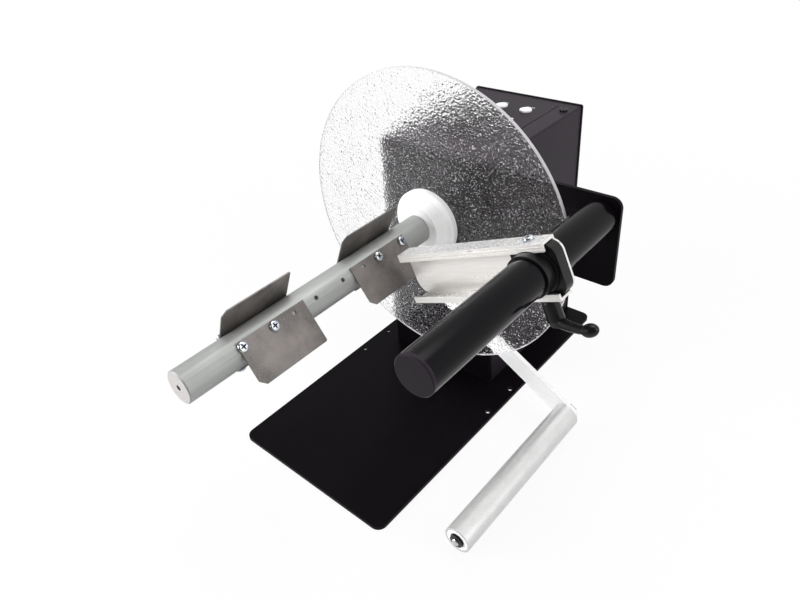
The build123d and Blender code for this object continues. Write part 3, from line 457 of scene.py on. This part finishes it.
def scatter_tree():
    """Geometry Nodes: stands a copy of a head on every point, along the point's aim, turned at random, at its size."""
    g = bpy.data.node_groups.new("stand_on_points", "GeometryNodeTree")
    for name, kind in (("Points", "NodeSocketGeometry"), ("Head", "NodeSocketObject"),
                       ("Material", "NodeSocketMaterial"), ("Seed", "NodeSocketInt")):
        g.interface.new_socket(name, in_out="INPUT", socket_type=kind)
    g.interface.new_socket("Geometry", in_out="OUTPUT", socket_type="NodeSocketGeometry")

    def node(kind, **props):
        n = g.nodes.new(kind)
        for key, v in props.items():
            setattr(n, key, v)
        return n

    given = node("NodeGroupInput")
    result = node("NodeGroupOutput")
    info = node("GeometryNodeObjectInfo")
    aim = node("GeometryNodeInputNamedAttribute", data_type="FLOAT_VECTOR")
    aim.inputs["Name"].default_value = "aim"
    size = node("GeometryNodeInputNamedAttribute", data_type="FLOAT")
    size.inputs["Name"].default_value = "size"
    stand = node("FunctionNodeAlignRotationToVector", axis="Z")
    spin = node("FunctionNodeRotateRotation", rotation_space="LOCAL")
    chance = node("FunctionNodeRandomValue", data_type="FLOAT_VECTOR")
    chance.inputs["Min"].default_value = (0, 0, 0)
    chance.inputs["Max"].default_value = (0, 0, QUARTER_TURN)
    place = node("GeometryNodeInstanceOnPoints")
    real = node("GeometryNodeRealizeInstances")
    paint = node("GeometryNodeSetMaterial")
    link = g.links.new
    link(given.outputs["Head"], info.inputs["Object"])
    link(given.outputs["Points"], place.inputs["Points"])
    link(info.outputs["Geometry"], place.inputs["Instance"])
    link(aim.outputs["Attribute"], stand.inputs["Vector"])
    link(given.outputs["Seed"], chance.inputs["Seed"])
    link(stand.outputs["Rotation"], spin.inputs["Rotation"])
    link(chance.outputs["Value"], spin.inputs["Rotate By"])
    link(spin.outputs["Rotation"], place.inputs["Rotation"])
    link(size.outputs["Attribute"], place.inputs["Scale"])
    link(place.outputs["Instances"], real.inputs["Geometry"])
    link(real.outputs["Geometry"], paint.inputs["Geometry"])
    link(given.outputs["Material"], paint.inputs["Material"])
    link(paint.outputs["Geometry"], result.inputs["Geometry"])
    return g


def stand_heads(name, tree, head, places, material, seed):
    """Plain mesh with a head at each (point, aim, size)."""
    mesh = bpy.data.meshes.new(name + "_points")
    mesh.from_pydata([point for point, _, _ in places], [], [])
    mesh.attributes.new("aim", "FLOAT_VECTOR", "POINT")
    mesh.attributes.new("size", "FLOAT", "POINT")
    for i, (_, aim, size) in enumerate(places):
        mesh.attributes["aim"].data[i].vector = aim
        mesh.attributes["size"].data[i].value = size
    seat = bpy.data.objects.new(name + "_points", mesh)
    bpy.context.scene.collection.objects.link(seat)
    mod = seat.modifiers.new("stand", "NODES")
    mod.node_group = tree
    keys = {i.name: i.identifier for i in tree.interface.items_tree if i.in_out == "INPUT"}
    mod[keys["Head"]] = head
    mod[keys["Material"]] = material
    mod[keys["Seed"]] = seed
    bpy.context.view_layer.update()
    deps = bpy.context.evaluated_depsgraph_get()
    solid = bpy.data.meshes.new_from_object(seat.evaluated_get(deps))
    solid.name = name
    solid.materials.clear()
    solid.materials.append(material)
    solid.polygons.foreach_set("material_index", [0] * len(solid.polygons))
    bpy.data.objects.remove(seat)
    obj = bpy.data.objects.new(name, solid)
    bpy.context.scene.collection.objects.link(obj)
    return obj


def make_screws():
    """Domed heads over the CAD's plain ones: on the wings, on the guide and on the housing."""
    head = screw_head()
    tree = scatter_tree()
    out = CORE_R + WING_SHEET
    wings = []
    for row in ROWS:
        aim = (math.cos(math.radians(row)), 0.0, math.sin(math.radians(row)))
        wings += [((out * aim[X], y, AXIS_Z + out * aim[Z]), aim, 1.0) for y in SCREW_Y]
    piece = stand_heads("wing_screw_heads", tree, head, wings, ZINC_SCREW, seed=4)
    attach(piece, "spindle")
    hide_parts("wing_screws")
    up = (-math.sin(TILT), 0.0, math.cos(TILT))
    at = (BAR_AXIS[0] + GUIDE_SCREW_OUT * up[X], GUIDE_SCREW_Y, BAR_AXIS[1] + GUIDE_SCREW_OUT * up[Z])
    piece = stand_heads("guide_screw_head", tree, head, [(at, up, GUIDE_HEAD)], ZINC_SCREW, seed=11)
    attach(piece, "guide")
    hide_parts("block_screw")
    case = [((COVER_SCREW_X, y, COVER_TOP), (0, 0, 1), COVER_HEAD) for y in COVER_SCREW_Y]
    case += [((x, REAR_FACE_Y, z), (0, 1, 0), REAR_HEAD) for x in REAR_SCREW_X for z in REAR_SCREW_Z]
    piece = stand_heads("housing_screw_heads", tree, head, case, MATERIALS["screw_black"], seed=7)
    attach(piece, "frame")
    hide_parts("housing_screws")
    bpy.data.objects.remove(head)


def flat_bar(bm, at, half_l, half_w, turn=0.0, thick=PAINT_THICK):
    """Thin raised bar of paint on its middle point, with its length turned away from X."""
    ca, sa = math.cos(turn), math.sin(turn)
    base = []
    for h in (0.0, thick):
        row = []
        for u, v in ((-half_l, -half_w), (half_l, -half_w), (half_l, half_w), (-half_l, half_w)):
            row.append(bm.verts.new((at[X] + u * ca - v * sa, at[Y] + u * sa + v * ca, at[Z] + h)))
        base.append(row)
    bm.faces.new(base[0][::-1])
    bm.faces.new(base[1])
    for k in range(4):
        j = (k + 1) % 4
        bm.faces.new((base[0][k], base[0][j], base[1][j], base[1][k]))


def make_print():
    """Plain scale round the knob, short dashes beside the two buttons, and the knob's pointer."""
    bm = bmesh.new()
    for i in range(TICKS):
        gap, half_l = TICK if i % 5 else LONG_TICK
        a = math.radians(90 - KNOB_HALF_TURN + TICK_STEP * i)
        r = KNOB_R + gap
        flat_bar(bm, (KNOB[X] + r * math.cos(a), KNOB[Y] + r * math.sin(a), COVER_TOP), half_l, TICK_HALF_W, a)
    for x, count in DASHES:
        for k in range(count):
            flat_bar(bm, (x + DASH_STEP * k, DASH_Y, COVER_TOP), DASH_HALF_L, DASH_HALF_W)
    piece = new_object("cover_print", bm, MATERIALS["button_white"], smooth=False)
    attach(piece, "frame")
    bm = bmesh.new()
    at = (KNOB[X], KNOB[Y] + POINTER_OUT, KNOB[Z] - POINTER_SINK)
    flat_bar(bm, at, POINTER_HALF_W, POINTER_HALF_L, thick=POINTER_THICK)
    piece = new_object("knob_pointer", bm, MATERIALS["button_white"], smooth=False)
    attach(piece, "knob")


# ---- floor, backdrop and light
def stage_white(name):
    """White for what looks straight at it, and a plain pale floor for the light that falls on it.

    The shadow is kept near the object, and mirrors see the floor in front of it darker.
    """
    t = Tree(name)
    plain = t.principled(grey(0.85), 0.9, t.bump(t.noise(60, 2), 0.0001))
    path = t.node("LightPath").outputs
    bare = t.span(t.vectors("LENGTH", t.place), 0.30, 0.75, 0.90, 1.0)
    direct = t.maths("MULTIPLY", t.maths("MAXIMUM", path["Is Camera Ray"], path["Is Transmission Ray"]), bare)
    mirrored = t.maths("MULTIPLY", path["Is Glossy Ray"], t.maths("SUBTRACT", 1.0, path["Is Transmission Ray"]))
    dim = t.span(t.part(t.place, Y), -0.9, -0.25, 1 - FLOOR_DARK, 1 - FLOOR_PALE)
    glow = t.node("Emission", Strength=t.maths("SUBTRACT", 1.0, t.maths("MULTIPLY", mirrored, dim))).outputs[0]
    return t.show(t.mix(t.maths("MAXIMUM", direct, mirrored), plain, glow))


def make_floor():
    mesh = bpy.data.meshes.new("floor")
    corners = [(x * FLOOR_HALF, y * FLOOR_HALF, 0) for x, y in ((-1, -1), (1, -1), (1, 1), (-1, 1))]
    mesh.from_pydata(corners, [], [(0, 1, 2, 3)])
    floor = bpy.data.objects.new("floor", mesh)
    bpy.context.scene.collection.objects.link(floor)
    floor.data.materials.append(stage_white("floor_white"))


def softbox(name, at, aim, size, power):
    data = bpy.data.lights.new(name, "AREA")
    data.shape = "RECTANGLE"
    data.size, data.size_y = size
    data.energy = power
    lamp = bpy.data.objects.new(name, data)
    bpy.context.scene.collection.objects.link(lamp)
    lamp.location = at
    lamp.rotation_euler = (Vector(aim) - Vector(at)).to_track_quat("-Z", "Y").to_euler()


def make_light():
    """White for what looks straight out, soft light all round, and three soft boxes.

    Mirrors see the white sweep behind the object and the dark room in front of it.
    """
    world = bpy.context.scene.world or bpy.data.worlds.new("world")
    bpy.context.scene.world = world
    t = Tree("world", world)
    path = t.node("LightPath").outputs
    mirrored = path["Is Glossy Ray"]
    sweep = t.span(t.part(t.place, Y), -0.35, 0.45, ROOM_DARK, SWEEP_WHITE)
    level = t.maths("ADD", t.maths("MULTIPLY", mirrored, sweep),
                    t.maths("MULTIPLY", t.maths("SUBTRACT", 1.0, mirrored), SKY))
    level = t.maths("MAXIMUM", level, t.maths("MAXIMUM", path["Is Camera Ray"], path["Is Transmission Ray"]))
    t.show(t.node("Background", Color=(1, 1, 1), Strength=level).outputs[0])
    softbox("key_box", at=(-0.80, -1.15, 0.50), aim=(0, 0, 0.14), size=(0.9, 0.6), power=15)
    softbox("top_box", at=(0.0, 0.3, 1.5), aim=(0, 0, 0.1), size=(1.2, 0.8), power=11)
    softbox("side_box", at=(1.3, 0.1, 0.7), aim=(0, 0, 0.12), size=(0.5, 0.9), power=6)


bpy.context.scene.view_settings.view_transform = "Standard"
make_camera()
make_floor()
make_light()
make_screws()
make_print()
